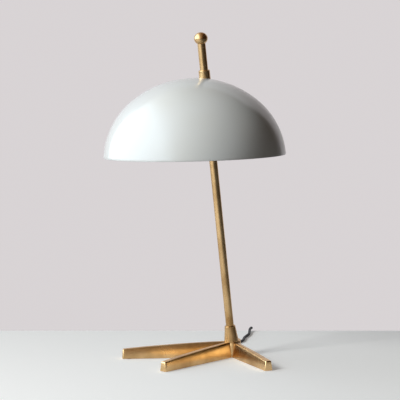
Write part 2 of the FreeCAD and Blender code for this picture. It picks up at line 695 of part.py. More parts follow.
def plug():
    """A moulded two-blade plug lying beside the coil, its tail against the coil's end."""
    place = facing(plug_entry, plug_way)
    tail_profile = [
        ("0", "0"),
        ("cord_radius + plug_sleeve", "0"),
        ("plug_relief_radius", "plug_relief"),
        ("0", "plug_relief"),
    ]
    tail = turned("plug_tail", tail_profile, place)
    upright = Rotation(plug_way, UP, UP, "XZY")
    body_at = plug_entry + plug_way * size("plug_relief + plug_length / 2")
    lying = Placement(body_at - UP * size("plug_height / 2"), upright)
    shell = block("plug_block", "plug_length", "plug_width", "plug_height", lying)
    doc.recompute()
    rounding = doc.addObject("Part::Fillet", "plug_shell")
    rounding.Base = shell
    radius = size("plug_edge_radius")
    rounding.Edges = [(number, radius, radius) for number, edge in enumerate(shell.Shape.Edges, start=1)]
    node(fused("plug_body", tail, rounding), "plug_body")
    blades = []
    across = UP.cross(plug_way) * size("blade_spacing / 2")
    between = plug_entry + plug_way * size("plug_relief + plug_length + blade_length / 2")
    for name, aside in (("left_blade", across), ("right_blade", across * -1)):
        blade_place = Placement(between + aside - UP * size("blade_width / 2"), upright)
        blades.append(block(name, "blade_length", "blade_thickness", "blade_width", blade_place))
    node(fused("plug_blades", *blades), "plug_blades")


plug()


# ---- head -----------------------------------------------------------------------------------------


running = "(stem_radius + running_fit)"
spigot = f"({running} + spigot_wall)"


def shade():
    """The dome: a crown arc and a shoulder arc, tangent, with the same sheet all over."""
    body, sketch = body_with_sketch("dome", "XZ_Plane")
    crown, shoulder, sheet_wall = size(crown_radius), size(shoulder_radius), size("shade_thickness")
    slope = math.radians(size("shade_rim_slope"))
    outward = Vector(math.cos(slope), math.sin(slope), 0)
    crown_at = Vector(0, -size(crown_drop), 0)
    rim_at = Vector(size("shade_radius"), 0, 0)
    shoulder_at = rim_at - outward * shoulder
    to_join = (shoulder_at - crown_at) * math.copysign(1, crown - shoulder)
    join = math.atan2(to_join.y, to_join.x)
    for wall in (0.0, sheet_wall):
        crown_arc = Part.ArcOfCircle(Part.Circle(crown_at, UP, crown - wall), join, math.pi / 2)
        shoulder_arc = Part.ArcOfCircle(Part.Circle(shoulder_at, UP, shoulder - wall), slope, join)
        sketch.addGeometry([crown_arc, shoulder_arc], False)
    top = crown_at + Vector(0, crown, 0)
    sketch.addGeometry(Part.LineSegment(rim_at, rim_at - outward * sheet_wall), False)
    sketch.addGeometry(Part.LineSegment(top, top - Vector(0, sheet_wall, 0)), False)
    rules = [
        ("Tangent", 0, 1, 1, 2),
        ("Tangent", 2, 1, 3, 2),
        ("Coincident", 0, 3, 2, 3),
        ("Coincident", 1, 3, 3, 3),
        ("Coincident", 1, 1, 4, 1),
        ("Coincident", 3, 1, 4, 2),
        ("Coincident", 0, 2, 5, 1),
        ("Coincident", 2, 2, 5, 2),
        ("PointOnObject", 0, 3, -2),
        ("PointOnObject", 5, 1, -2),
        ("PointOnObject", 5, 2, -2),
        ("PointOnObject", 1, 1, -1),
    ]
    for rule in rules:
        sketch.addConstraint(Sketcher.Constraint(*rule))
    measures = [
        (("DistanceX", -1, 1, 1, 1), "shade_radius"),
        (("DistanceY", -1, 1, 5, 1), "shade_depth"),
        (("Radius", 0), crown_radius),
        (("Radius", 1), shoulder_radius),
        (("Radius", 2), f"{crown_radius} - shade_thickness"),
    ]
    for rule, text in measures:
        index = sketch.addConstraint(Sketcher.Constraint(*rule, size(text)))
        sketch.setExpression(f"Constraints[{index}]", bound(text))
    spin = body.newObject("PartDesign::Revolution", "dome_spin")
    spin.Profile = sketch
    spin.ReferenceAxis = (sketch, ["V_Axis"])
    spin.Angle = 360
    body.Placement = shade_place
    hole_radius = f"{spigot} + shade_hole_clearance"
    hole = round_bar("shade_hole", hole_radius, "2 * shade_depth", on_stem(crossing - size("shade_depth")))
    return cut("shade", body, hole)


node(shade(), "shade")

seat_plane = facing(STEM * crossing - dome_normal * size("seat_sag"), dome_normal)
collar_blank = turned(
    "collar_blank",
    [
        (running, "-collar_radius"),
        ("collar_radius", "-collar_radius"),
        ("collar_radius", "collar_height - collar_chamfer"),
        ("collar_radius - collar_chamfer", "collar_height"),
        (running, "collar_height"),
    ],
    on_stem(crossing),
)
seat_cut_depth = "(4 * collar_radius)"
below_seat_place = seat_plane.multiply(Placement(Vector(0, 0, -size(seat_cut_depth)), Rotation()))
below_seat = block("below_seat", "6 * collar_radius", "6 * collar_radius", seat_cut_depth, below_seat_place)
spigot_low = chamber_top + size("spigot_end_gap") - crossing
collar_place = on_stem(crossing)
collar_spigot = tube("collar_spigot", spigot, running, f"{spigot_low}", "collar_height / 2", collar_place)
node(fused("top_collar", cut("collar_raked", collar_blank, below_seat), collar_spigot), "top_collar")

washer_top = "2 * angle_washer_depth"
washer_bore = f"{spigot} + close_fit"
washer_place = on_stem(washer_flat)
washer_blank = tube("washer_blank", "angle_washer_radius", washer_bore, "0", washer_top, washer_place)
sheet_underside = dome_normal * size("shade_thickness + angle_washer_gap")
under_sheet = facing(STEM * crossing - sheet_underside, dome_normal)
wide = "4 * angle_washer_radius"
above_washer = block("above_washer", wide, wide, washer_top, under_sheet)
node(cut("angle_washer", washer_blank, above_washer), "angle_washer")

wave_place = on_stem(carrier_top + size("seat_gap"))
wave_radius = "angle_washer_radius - wave_washer_inset"
node(tube("wave_washer", wave_radius, washer_bore, "0", "wave_washer_thickness", wave_place), "wave_washer")
socket_low = "(carrier_height - carrier_socket_depth)"
chamber_low = f"({socket_low} - chamber_height)"
carrier_blank = turned(
    "carrier_blank",
    [
        (running, "0"),
        ("carrier_radius - turned_chamfer", "0"),
        ("carrier_radius", "turned_chamfer"),
        ("carrier_radius", "carrier_height - turned_chamfer"),
        ("carrier_radius - turned_chamfer", "carrier_height"),
        (washer_bore, "carrier_height"),
        (washer_bore, socket_low),
        ("chamber_radius", socket_low),
        ("chamber_radius", chamber_low),
        (running, chamber_low),
    ],
    on_stem(carrier_bottom),
)

# The arm leaves the carrier's chamber towards the lean and bends down; its plane holds the stem.
arm_frame = on_stem(chamber_middle)
arm_bend = math.radians(size("arm_bend"))
arm_down = Vector(math.cos(arm_bend), 0, -math.sin(arm_bend))
bend_reach = size("arm_bend_radius") * math.tan(arm_bend / 2)
arm_root = Vector(size("chamber_radius + arm_root_gap"), 0, 0)
arm_corner = Vector(size("carrier_radius + arm_straight") + bend_reach, 0, 0)
arm_tip = arm_corner + arm_down * (bend_reach + size("arm_end"))
arm_line = [arm_frame.multVec(p) for p in (arm_root, arm_corner, arm_tip)]
arm_wire, arm_radii = rounded_path(arm_line, size("arm_bend_radius"))


def arm_bar(name, radius):
    """A round bar along the arm's line."""
    bar = doc.addObject("Part::Feature", name)
    ring = Part.Wire(Part.makeCircle(size(radius), arm_line[0], LEAN.multVec(Vector(1, 0, 0))))
    bar.Shape = arm_wire.makePipeShell([ring], True, False)
    bar.Placement = Placement()
    return bar


forwards = Rotation(UP, Vector(1, 0, 0))
arm_hole_place = arm_frame.multiply(Placement(Vector(size("chamber_radius / 2"), 0, 0), forwards))
arm_hole = round_bar("arm_hole", "arm_radius + close_fit", "carrier_radius", arm_hole_place)
node(cut("carrier_hub", carrier_blank, arm_hole), "carrier_hub")
node(cut("arm_tube", arm_bar("arm_outside", "arm_radius"), arm_bar("arm_inside", "arm_bore")), "arm_tube")
node(arm_bar("arm_lead", "arm_lead_radius"), "arm_lead")

# Pieces of the lampholder are drawn along their own Z, which points from the arm to the bulb.
holder_way = LEAN.multVec(arm_down)
holder_side = LEAN.multVec(Vector(0, 1, 0))
holder_turn = Rotation(holder_side.cross(holder_way), holder_side, holder_way, "ZXY")
holder_origin = arm_frame.multVec(arm_tip) - holder_way * size("holder_neck_height")


def on_holder(along):
    """The placement of a piece that starts at that distance from the holder's top."""
    return Placement(holder_origin + holder_way * along, holder_turn)


arm_socket = "(arm_radius + close_fit)"
cap_radius = "(holder_radius + holder_cap_lip)"
cap_bore = "(holder_radius - holder_wall - holder_cap_lip)"
holder_cap = turned(
    "holder_cap",
    [
        (arm_socket, "0"),
        ("holder_neck_radius - holder_cap_lip", "0"),
        ("holder_neck_radius", "holder_cap_lip"),
        ("holder_neck_radius", "holder_neck_height"),
        (cap_radius, "holder_cap_height - holder_cap_rim"),
        (cap_radius, "holder_cap_height"),
        (cap_bore, "holder_cap_height"),
        (cap_bore, "holder_cap_height - holder_cap_rim + holder_wall"),
        (arm_socket, "holder_neck_height + holder_wall"),
    ],
    on_holder(0),
)
node(holder_cap, "holder_cap")
shell_at = size("holder_cap_height + seat_gap")
shell = turned(
    "shell_blank",
    [
        ("holder_radius - holder_wall", "0"),
        ("holder_radius", "0"),
        ("holder_radius", "holder_length - 2 * holder_bead"),
        ("holder_radius + holder_bead", "holder_length - holder_bead"),
        ("holder_radius", "holder_length"),
        ("holder_radius - holder_wall", "holder_length"),
    ],
    on_holder(shell_at),
)
sideways = Placement(Vector(), Rotation(UP, Vector(0, 1, 0)))
spindle_place = on_holder(size("spindle_from_top")).multiply(sideways)
spindle_start = "(holder_radius / 3)"


def spindle_hole(name):
    """The hole that the switch spindle needs in one of the lampholder's sleeves."""
    start = size(spindle_start)
    return round_bar(name, "spindle_radius + close_fit", "1.5 * holder_radius", spindle_place, start)


node(cut("holder_shell", shell, spindle_hole("shell_hole")), "holder_shell")
liner_radius = "(holder_radius - holder_wall - close_fit)"
liner_bore = f"({liner_radius} - liner_thickness)"
end_gap = "(2 * seat_gap)"
liner_end = "holder_length - holder_bead"
liner = tube("liner_blank", liner_radius, liner_bore, end_gap, liner_end, on_holder(shell_at))
node(cut("holder_liner", liner, spindle_hole("liner_hole")), "holder_liner")
block_radius = f"({liner_bore} - close_fit)"
block_end = "switch_block_height"
switch_blank = tube("switch_blank", block_radius, "switch_block_bore", end_gap, block_end, on_holder(shell_at))
node(cut("switch_block", switch_blank, spindle_hole("block_hole")), "switch_block")
contact_place = on_holder(shell_at + size("switch_block_height"))
screw_shell = turned(
    "screw_shell",
    [
        ("screw_shell_radius + screw_shell_wall", "0"),
        ("screw_shell_radius + screw_shell_wall", "bulb_cap_length"),
        ("screw_shell_radius", "bulb_cap_length"),
        ("screw_shell_radius", "screw_shell_wall"),
        ("screw_shell_radius / 2", "screw_shell_wall"),
        ("screw_shell_radius / 2", "0"),
    ],
    contact_place,
)
node(screw_shell, "screw_shell")
centre_contact = turned(
    "centre_contact",
    [
        ("0", "0"),
        ("centre_contact_radius", "0"),
        ("centre_contact_radius", "centre_contact_height / 3"),
        ("centre_contact_radius / 2", "centre_contact_height"),
        ("0", "centre_contact_height"),
    ],
    contact_place,
)
node(centre_contact, "centre_contact")

cap_low = shell_at + size("switch_block_height + centre_contact_height + bulb_contact_height + seat_gap")
bulb_cap = turned(
    "bulb_cap",
    [
        ("0", "0"),
        ("bulb_tip_radius", "0"),
        ("bulb_cap_radius - bulb_thread_depth", "bulb_thread_start - bulb_thread_depth"),
        ("bulb_cap_radius", "bulb_thread_start"),
        ("bulb_cap_radius", "bulb_cap_length"),
        ("bulb_neck_radius", "bulb_cap_length"),
        ("bulb_neck_radius", "bulb_thread_start + bulb_thread_depth"),
        ("0", "bulb_thread_start - bulb_glass_wall"),
    ],
    on_holder(cap_low),
)
node(bulb_cap, "bulb_cap")
bulb_contact = turned(
    "bulb_contact",
    [
        ("0", "-bulb_contact_height"),
        ("bulb_tip_radius / 2", "-bulb_contact_height"),
        ("bulb_tip_radius * 0.8", "-close_fit"),
        ("0", "-close_fit"),
    ],
    on_holder(cap_low),
)
node(bulb_contact, "bulb_contact")

holder_mouth = shell_at + size("holder_length")
globe_middle = holder_mouth + size("bulb_visible - bulb_radius")
neck_low = cap_low + size("bulb_cap_length - bulb_neck_engagement") - globe_middle
neck_flare = 0.75  # where the neck starts, as a share of the globe's radius
globe_edge = 0.6  # where the globe's curve ends


def globe(name, inside):
    """The bulb's outline at a distance inside its surface, turned to a solid."""
    radius = size(f"bulb_radius - {inside}")
    neck = size(f"bulb_neck_radius - close_fit - {inside}")
    low = neck_low + size(inside)
    edge_x, edge_y = radius * math.sqrt(1 - globe_edge**2), -radius * globe_edge
    body, sketch = body_with_sketch(name, "XZ_Plane")
    tip, side, edge = Vector(0, radius, 0), Vector(radius, 0, 0), Vector(edge_x, edge_y, 0)
    sketch.addGeometry(Part.Arc(tip, side, edge), False)
    flare_y = edge_y - (edge_x - neck) * neck_flare
    corners = [(edge_x, edge_y), (neck, flare_y), (neck, low), (0, low), (0, radius)]
    for (x0, y0), (x1, y1) in zip(corners, corners[1:]):
        sketch.addGeometry(Part.LineSegment(Vector(x0, y0, 0), Vector(x1, y1, 0)), False)
    spin = body.newObject("PartDesign::Revolution", name + "_spin")
    spin.Profile = sketch
    spin.ReferenceAxis = (sketch, ["V_Axis"])
    spin.Angle = 360
    body.Placement = on_holder(globe_middle)
    return body


node(cut("bulb_glass", globe("globe_outside", "0"), globe("globe_inside", "bulb_glass_wall")), "bulb_glass")
mount_low = neck_low + size("bulb_glass_wall")
bulb_mount = turned(
    "bulb_mount",
    [
        ("0", f"{mount_low}"),
        ("bulb_neck_radius / 2", f"{mount_low}"),
        ("bulb_mount_radius", f"{mount_low} + bulb_neck_radius"),
        ("bulb_mount_radius", "-filament_length / 2"),
        ("0", "-filament_length / 2"),
    ],
    on_holder(globe_middle),
)
node(bulb_mount, "bulb_mount")
filaments = []
filament_way = Rotation(UP, Vector(size("filament_spread"), 0, size("filament_length")))
filament_start = Vector(size("bulb_mount_radius / 2"), 0, size("filament_radius / 2 - filament_length / 2"))
for turn in (0, 90, 180, 270):
    quarter = on_holder(globe_middle).multiply(Placement(Vector(), Rotation(UP, turn)))
    stick_place = quarter.multiply(Placement(filament_start, filament_way))
    filaments.append(round_bar(f"filament{turn}", "filament_radius", "filament_length", stick_place))
node(fused("bulb_filament", *filaments), "bulb_filament")

knob_reach = Vector(0, 0, size("holder_radius + knob_stand_off"))
knob_place = spindle_place.multiply(Placement(knob_reach, Rotation()))
knob_blank = doc.addObject("Part::Ellipsoid", "knob_blank")
knob_blank.setExpression("Radius1", bound("knob_length / 2"))
knob_blank.setExpression("Radius2", bound("knob_width / 2"))
knob_blank.setExpression("Radius3", bound("knob_thickness / 2"))
knob_blank.Placement = knob_place.multiply(Placement(Vector(0, 0, size("knob_length / 2")), Rotation()))
knob_foot = round_bar("knob_foot", "2 * spindle_radius", "knob_length / 2", knob_place)
node(fused("switch_knob", knob_blank, knob_foot), "switch_knob")
spindle_length = f"holder_radius + knob_stand_off - {spindle_start}"
spindle = round_bar("switch_spindle", "spindle_radius", spindle_length, spindle_place, size(spindle_start))
node(spindle, "switch_spindle")


# ---- height clamp -----------------------------------------------------------------------------------

thrust_place = on_stem(thrust_bottom)
thrust_end = "thrust_washer_thickness"
thrust = tube("thrust_washer", "thrust_washer_radius", running, "0", thrust_end, thrust_place)
node(thrust, "thrust_washer")
clamp_blank = turned(
    "clamp_blank",
    [
        (running, "0"),
        ("clamp_radius - turned_chamfer", "0"),
        ("clamp_radius", "turned_chamfer"),
        ("clamp_radius", "clamp_height - turned_chamfer"),
        ("clamp_radius - turned_chamfer", "clamp_height"),
        (running, "clamp_height"),
    ],
    on_stem(clamp_bottom),
)
backwards = Placement(Vector(), Rotation(UP, Vector(-1, 0, 0)))
screw_place = on_stem(clamp_bottom + size("clamp_height / 2")).multiply(backwards)
screw_hole = round_bar("screw_hole", "screw_radius + close_fit", "2 * clamp_radius", screw_place)
node(cut("clamp_collar", clamp_blank, screw_hole), "clamp_collar")
neck_radius = "(screw_radius + screw_chamfer)"
neck_at = "(clamp_radius + screw_chamfer)"
head_at = "(clamp_radius + screw_neck)"
head_end = f"({head_at} + screw_head_length)"
clamp_screw = turned(
    "clamp_screw",
    [
        ("0", "stem_radius + screw_tip_gap"),
        ("screw_radius - screw_chamfer", "stem_radius + screw_tip_gap"),
        ("screw_radius", "stem_radius + screw_tip_gap + screw_chamfer"),
        ("screw_radius", neck_at),
        (neck_radius, neck_at),
        (neck_radius, head_at),
        ("screw_head_radius - screw_chamfer", head_at),
        ("screw_head_radius", f"{head_at} + screw_chamfer"),
        ("screw_head_radius", f"{head_end} - screw_chamfer"),
        ("screw_head_radius - screw_chamfer", head_end),
        ("0", head_end),
    ],
    screw_place,
)
node(clamp_screw, "clamp_screw")


# ---- check and write --------------------------------------------------------------------------------

doc.recompute()
for thing in doc.Objects:
    if {"Invalid", "Error"} & set(thing.State):
        raise ValueError(f"{thing.Name} failed: {thing.State}")
for thing in nodes:
    if thing.Shape.isNull() or not thing.Shape.isValid() or not thing.Shape.Solids:
        raise ValueError(f"{thing.Label} has no valid solid")
os.makedirs("parts", exist_ok=True)
for thing in nodes:
    thing.Shape.exportStep(f"parts/{thing.Label}.step")
print(f"{len(nodes)} sub-parts, lead {lead.Length + coil.Length:.0f} mm")
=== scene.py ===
"""Looks of the dome shade desk lamp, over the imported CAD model. Metres, +Z up, -Y to the front."""

import json
import math

import bmesh
import bpy
from mathutils import Matrix, Vector


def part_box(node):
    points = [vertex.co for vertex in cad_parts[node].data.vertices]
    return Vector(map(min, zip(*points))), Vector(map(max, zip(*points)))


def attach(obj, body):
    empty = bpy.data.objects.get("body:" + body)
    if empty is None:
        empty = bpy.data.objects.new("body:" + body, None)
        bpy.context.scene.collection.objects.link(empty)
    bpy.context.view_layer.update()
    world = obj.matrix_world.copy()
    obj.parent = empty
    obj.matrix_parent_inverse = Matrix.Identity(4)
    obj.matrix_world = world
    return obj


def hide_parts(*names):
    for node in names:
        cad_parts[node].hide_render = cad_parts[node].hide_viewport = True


bl_info = {
    "name": "Dome shade desk lamp",
    "version": (1, 0, 0),
    "blender": (4, 5, 0),
    "location": "3D View > Sidebar > Lamp",
    "description": "Dresses the packed desk lamp and lights it",
    "category": "Object",
}

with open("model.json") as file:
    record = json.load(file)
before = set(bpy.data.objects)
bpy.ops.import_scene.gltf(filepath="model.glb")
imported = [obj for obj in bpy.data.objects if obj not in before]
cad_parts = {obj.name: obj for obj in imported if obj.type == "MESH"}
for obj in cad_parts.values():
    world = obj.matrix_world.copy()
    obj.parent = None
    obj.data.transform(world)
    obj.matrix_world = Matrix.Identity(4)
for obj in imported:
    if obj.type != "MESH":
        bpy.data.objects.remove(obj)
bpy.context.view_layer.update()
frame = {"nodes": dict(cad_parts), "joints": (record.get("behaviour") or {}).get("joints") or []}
JOINTS = {joint["name"]: joint for joint in frame["joints"]}
MM = 0.001

STEM = Vector(JOINTS["head_slide"]["axis"]).normalized()
LEAN_TURN = math.atan2(STEM.y, STEM.x)


# ---- settings ---------------------------------------------------------------------------------


def length_setting(label, text, value):
    return bpy.props.FloatProperty(name=label, description=text, default=value, unit="LENGTH", precision=4)


def share_setting(label, text, value):
    return bpy.props.FloatProperty(name=label, description=text, default=value, min=0)


def colour_setting(label, text, value):
    return bpy.props.FloatVectorProperty(
        name=label, description=text, default=value, subtype="COLOR", size=3, min=0, max=1
    )


class LampDomeSettings(bpy.types.PropertyGroup):
    radius: length_setting("Radius", "Dome at the rim", 0.150)
    depth: length_setting("Depth", "From the rim to the crown", 0.1275)
    crown: length_setting("Crown", "Radius of the crown's curve", 0.1638)
    shoulder: length_setting("Shoulder", "Radius of the shoulder's curve", 0.1274)
    wall: length_setting("Sheet", "Thickness of the enamelled sheet", 0.0012)
    forward: length_setting("Forward", "Middle of the rim, in the direction of the lean", 0.098)
    height: length_setting("Height", "Middle of the rim above the table", 0.3493)
    droop: bpy.props.FloatProperty(
        name="Droop",
        description="How far the left side hangs lower",
        default=math.radians(1.4),
        unit="ROTATION",
    )
    enamel: colour_setting("Enamel", "Colour of the dome", (0.80, 0.81, 0.80))


class LampBrassSettings(bpy.types.PropertyGroup):
    bright: colour_setting("Bright", "Rubbed brass", (0.74, 0.50, 0.25))
    dark: colour_setting("Dark", "Tarnished brass", (0.40, 0.23, 0.09))
    roughness: share_setting("Roughness", "Of rubbed brass", 0.22)


class LampLeadSettings(bpy.types.PropertyGroup):
    diameter: length_setting("Diameter", "Cloth-covered lead", 0.005)
    length: length_setting("Length", "From the base to the plug", 1.746)
    coil_radius: length_setting("Coil", "Radius of the coil's outer turn", 0.0405)
    coil_pitch: length_setting("Pitch", "From one turn to the next", 0.0056)
    cloth: colour_setting("Cloth", "Colour of the braid", (0.009, 0.010, 0.014))


class LampStageSettings(bpy.types.PropertyGroup):
    wall: colour_setting("Wall", "Colour behind the lamp", (0.690, 0.655, 0.665))
    table: colour_setting("Table", "Colour of the table", (0.92, 0.91, 0.90))
    wall_distance: length_setting("Wall line", "From the lamp to the wall", 0.2525)
    key: bpy.props.FloatProperty(
        name="Window", description="Power of the light from the left", default=35.0, unit="POWER"
    )
    window_shine: share_setting("Shine", "Brightness of the room in metal", 4.2)
    fill: share_setting("Fill", "Brightness of the room as a light", 1.1)
    table_bounce: share_setting("Bounce", "Share of its light that the table throws up", 0.3)
    table_glow: share_setting("Pale table", "How much paler the table shows", 0.22)


# ---- materials --------------------------------------------------------------------------------


def math_node(tree, operation, *values, clamp=False):
    """The output of a Math node on sockets and numbers."""
    node = tree.nodes.new("ShaderNodeMath")
    node.operation = operation
    node.use_clamp = clamp
    for socket, value in zip(node.inputs, values):
        if isinstance(value, bpy.types.NodeSocket):
            tree.links.new(value, socket)
        else:
            socket.default_value = value
    return node.outputs[0]


class Shader:
    """A node material with one Principled shader, in Object coordinates."""

    def __init__(self, name, colour, metallic=0.0, roughness=0.5, **sockets):
        self.material = bpy.data.materials.new(name)
        self.material.use_nodes = True
        self.tree = self.material.node_tree
        self.surface = self.tree.nodes["Principled BSDF"]
        self.surface.inputs["Base Color"].default_value = (*colour, 1)
        self.surface.inputs["Metallic"].default_value = metallic
        self.surface.inputs["Roughness"].default_value = roughness
        for socket, value in sockets.items():
            self.surface.inputs[socket.replace("_", " ")].default_value = value
        self.place = self.tree.nodes.new("ShaderNodeTexCoord").outputs["Object"]

    def node(self, kind, **settings):
        made = self.tree.nodes.new(kind)
        for key, value in settings.items():
            if key in made.inputs:
                made.inputs[key].default_value = value
            else:
                setattr(made, key, value)
        return made

    def link(self, source, target):
        self.tree.links.new(source, target)
        return self

    def noise(self, scale, stretch=(1, 1, 1), detail=4.0):
        """Cloudy variation, finer along the axes with the larger stretch."""
        mapping = self.node("ShaderNodeMapping", Scale=stretch)
        self.link(self.place, mapping.inputs["Vector"])
        texture = self.node("ShaderNodeTexNoise", Scale=scale, Detail=detail)
        self.link(mapping.outputs[0], texture.inputs["Vector"])
        return texture.outputs["Fac"]

    def between(self, factor, low, high, start=0.35, end=0.65):
        """Low and high, numbers or colours, mixed by a factor."""
        ramp = self.node("ShaderNodeValToRGB")
        ramp.color_ramp.elements[0].position = start
        ramp.color_ramp.elements[1].position = end
        for element, value in zip(ramp.color_ramp.elements, (low, high)):
            element.color = (*value, 1) if isinstance(value, (tuple, list)) else (value, value, value, 1)
        self.link(factor, ramp.inputs["Fac"])
        return ramp.outputs["Color"]

    def colour(self, factor, low, high, start=0.35, end=0.65):
        mixed = self.between(factor, tuple(low), tuple(high), start, end)
        return self.link(mixed, self.surface.inputs["Base Color"])

    def rough(self, factor, low, high, start=0.35, end=0.65):
        return self.link(self.between(factor, low, high, start, end), self.surface.inputs["Roughness"])

    def bump(self, height, depth, strength=1.0):
        """Relief of that depth, on top of the relief that the surface has already."""
        relief = self.node("ShaderNodeBump", Distance=depth, Strength=strength)
        normal = self.surface.inputs["Normal"]
        if normal.is_linked:
            self.link(normal.links[0].from_socket, relief.inputs["Normal"])
        self.link(height, relief.inputs["Height"])
        return self.link(relief.outputs["Normal"], normal)

    def rounded_sides(self, middle, steepness):
        """Makes upright sides catch the light as if they swelled out at a middle height."""
        split = self.node("ShaderNodeSeparateXYZ")
        self.link(self.place, split.inputs[0])
        off_middle = math_node(self.tree, "SUBTRACT", split.outputs["Z"], middle)
        height = math_node(self.tree, "MULTIPLY", math_node(self.tree, "POWER", off_middle, 2), -steepness)
        return self.bump(height, 1.0)


def brass(settings, name, swell=None, duller=0.0):
    """Old rubbed brass with soft clouds of tarnish and fine upright marks. Swell is the middle height and
    the steepness of sides that are slightly rounded."""
    polish = settings.roughness + duller
    shader = Shader(name, settings.bright, metallic=1.0, roughness=polish)
    clouds = shader.noise(22)
    marks = shader.noise(320, stretch=(5, 5, 0.3), detail=3)
    shader.colour(clouds, settings.dark, settings.bright, 0.3, 0.62)
    shader.rough(clouds, polish + 0.06, polish, 0.3, 0.7)
    if swell:
        shader.rounded_sides(*swell)
    return shader.bump(marks, 0.00001, 0.5).material


def enamel(settings):
    """Glossy off-white enamel with the faint waviness of a fired coat."""
    shader = Shader("off_white_enamel", settings.enamel, roughness=0.16, IOR=1.5)
    clouds = shader.noise(9, detail=2)
    warm = [c * f for c, f in zip(settings.enamel, (0.985, 0.975, 0.955))]
    shader.colour(clouds, warm, settings.enamel)
    shader.rough(shader.noise(24, detail=5), 0.13, 0.20)
    return shader.bump(shader.noise(120, detail=1), 0.00003, 0.35).material


def braid(settings):
    """Tight cotton braid: fine mottled threads with a faint sheen."""
    shader = Shader("cloth_braid", settings.cloth, roughness=0.72, Sheen_Weight=0.12, Sheen_Roughness=0.4)
    ribs = shader.noise(900, detail=2)
    light = [min(1, c * 2.6 + 0.012) for c in settings.cloth]
    shader.colour(ribs, settings.cloth, light, 0.42, 0.68)
    return shader.bump(ribs, 0.0003, 0.8).material


def moulding(name, colour, roughness=0.45):
    """Matt moulded plastic or pressed fibre with a fine grain."""
    shader = Shader(name, colour, roughness=roughness)
    grain = shader.noise(700, detail=3)
    shader.rough(grain, roughness - 0.08, roughness + 0.08)
    return shader.bump(grain, 0.00004, 0.5).material


def felt():
    """Dark wool felt."""
    shader = Shader("dark_felt", (0.03, 0.03, 0.028), roughness=0.95)
    fuzz = shader.noise(1400, detail=6)
    shader.colour(fuzz, (0.015, 0.015, 0.014), (0.06, 0.058, 0.055))
    return shader.bump(fuzz, 0.0003).material


def plated(name, colour, roughness):
    """Plated or turned metal with fine marks round it."""
    shader = Shader(name, colour, metallic=1.0, roughness=roughness)
    marks = shader.noise(300, stretch=(1, 1, 5), detail=3)
    shader.rough(marks, roughness - 0.07, roughness + 0.1)
    return shader.bump(marks, 0.00002, 0.5).material


def clear_glass():
    """Thin blown glass, faintly wavy."""
    shader = Shader("clear_bulb_glass", (0.97, 0.98, 0.97), roughness=0.02, IOR=1.46, Transmission_Weight=1.0)
    wave = shader.noise(30, detail=1)
    return shader.bump(wave, 0.00005, 0.3).material


# ---- mesh work --------------------------------------------------------------------------------


def finish_mesh(name, bm, material, body, place=None, sharp=35, merge=1e-6):
    """Closes a bmesh into a piece that rides on a body."""
    bmesh.ops.remove_doubles(bm, verts=bm.verts, dist=merge)
    bmesh.ops.recalc_face_normals(bm, faces=bm.faces)
    if place is not None:
        bmesh.ops.transform(bm, matrix=place, verts=bm.verts)
    mesh = bpy.data.meshes.new(name)
    bm.to_mesh(mesh)
    bm.free()
    mesh.materials.append(material)
    piece = bpy.data.objects.new(name, mesh)
    bpy.context.scene.collection.objects.link(piece)
    shade_smooth(mesh, sharp)
    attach(piece, body)
    return piece


def shade_smooth(mesh, sharp):
    """Smooth shading that keeps edges sharper than an angle."""
    for polygon in mesh.polygons:
        polygon.use_smooth = True
    mesh.set_sharp_from_angle(angle=math.radians(sharp))


def chain(bm, points):
    """Points of radius and height as a row of edges."""
    verts = [bm.verts.new((r, 0, z)) for r, z in points]
    for a, b in zip(verts, verts[1:]):
        bm.edges.new((a, b))
    return verts


def spin_round(bm, steps=96):
    """Turns what is drawn about the Z axis."""
    bmesh.ops.spin(
        bm,
        geom=list(bm.verts) + list(bm.edges),
        cent=(0, 0, 0),
        axis=(0, 0, 1),
        dvec=(0, 0, 0),
        angle=2 * math.pi,
        steps=steps,
        use_merge=True,
    )
    bmesh.ops.remove_doubles(bm, verts=bm.verts, dist=1e-6)


def soften(bm, width, angle=30, segments=2):
    """Small rounding of the edges that are sharper than an angle."""
    edges = [e for e in bm.edges if len(e.link_faces) == 2 and e.calc_face_angle(0) > math.radians(angle)]
    bmesh.ops.bevel(
        bm,
        geom=edges,
        offset=width,
        offset_type="OFFSET",
        affect="EDGES",
        segments=segments,
        profile=0.5,
        material=-1,
    )


def turned(name, points, material, body, place, rounding=0.0003, steps=96):
    """A turned piece from points of radius and height in millimetres."""
    bm = bmesh.new()
    chain(bm, [(r * MM, z * MM) for r, z in points])
    spin_round(bm, steps)
    soften(bm, rounding)
    return finish_mesh(name, bm, material, body, place)


def dress(material, *nodes):
    """Gives CAD nodes a finish."""
    for name in nodes:
        node = frame["nodes"][name]
        if not node.material_slots:
            node.data.materials.append(None)
        for slot in node.material_slots:
            slot.link = "OBJECT"
            slot.material = material
    return material


# ---- pieces -----------------------------------------------------------------------------------


# The room as a light and in metal, from the window on the left to the dark end on the right: a place from
# 0, due left, to 1, due right, and its colour.
ROOM = [
    (0.17, (0.78, 0.90, 1.0)),
    (0.31, (0.27, 0.26, 0.24)),
    (0.45, (0.105, 0.085, 0.065)),
    (0.60, (0.070, 0.045, 0.028)),
    (0.76, (0.010, 0.006, 0.004)),
]
WINDOW_PLACE = Vector((-1.62, -1.38, 1.34))
WINDOW_SIZE = 0.7
WINDOW_AIM = Vector((-0.05, -0.06, 0.3))
WINDOW_COLOUR = (0.97, 1.0, 0.99)
TABLE_REACH = 6.0
WALL_SIZE = Vector((0.95, 0.9))
WALL_MIDDLE = (-0.08, 0.45)
CAMERA_PLACE = (-0.05665, -2.5399, 0.49285)
CAMERA_TILT = math.radians(90 - 5.029)


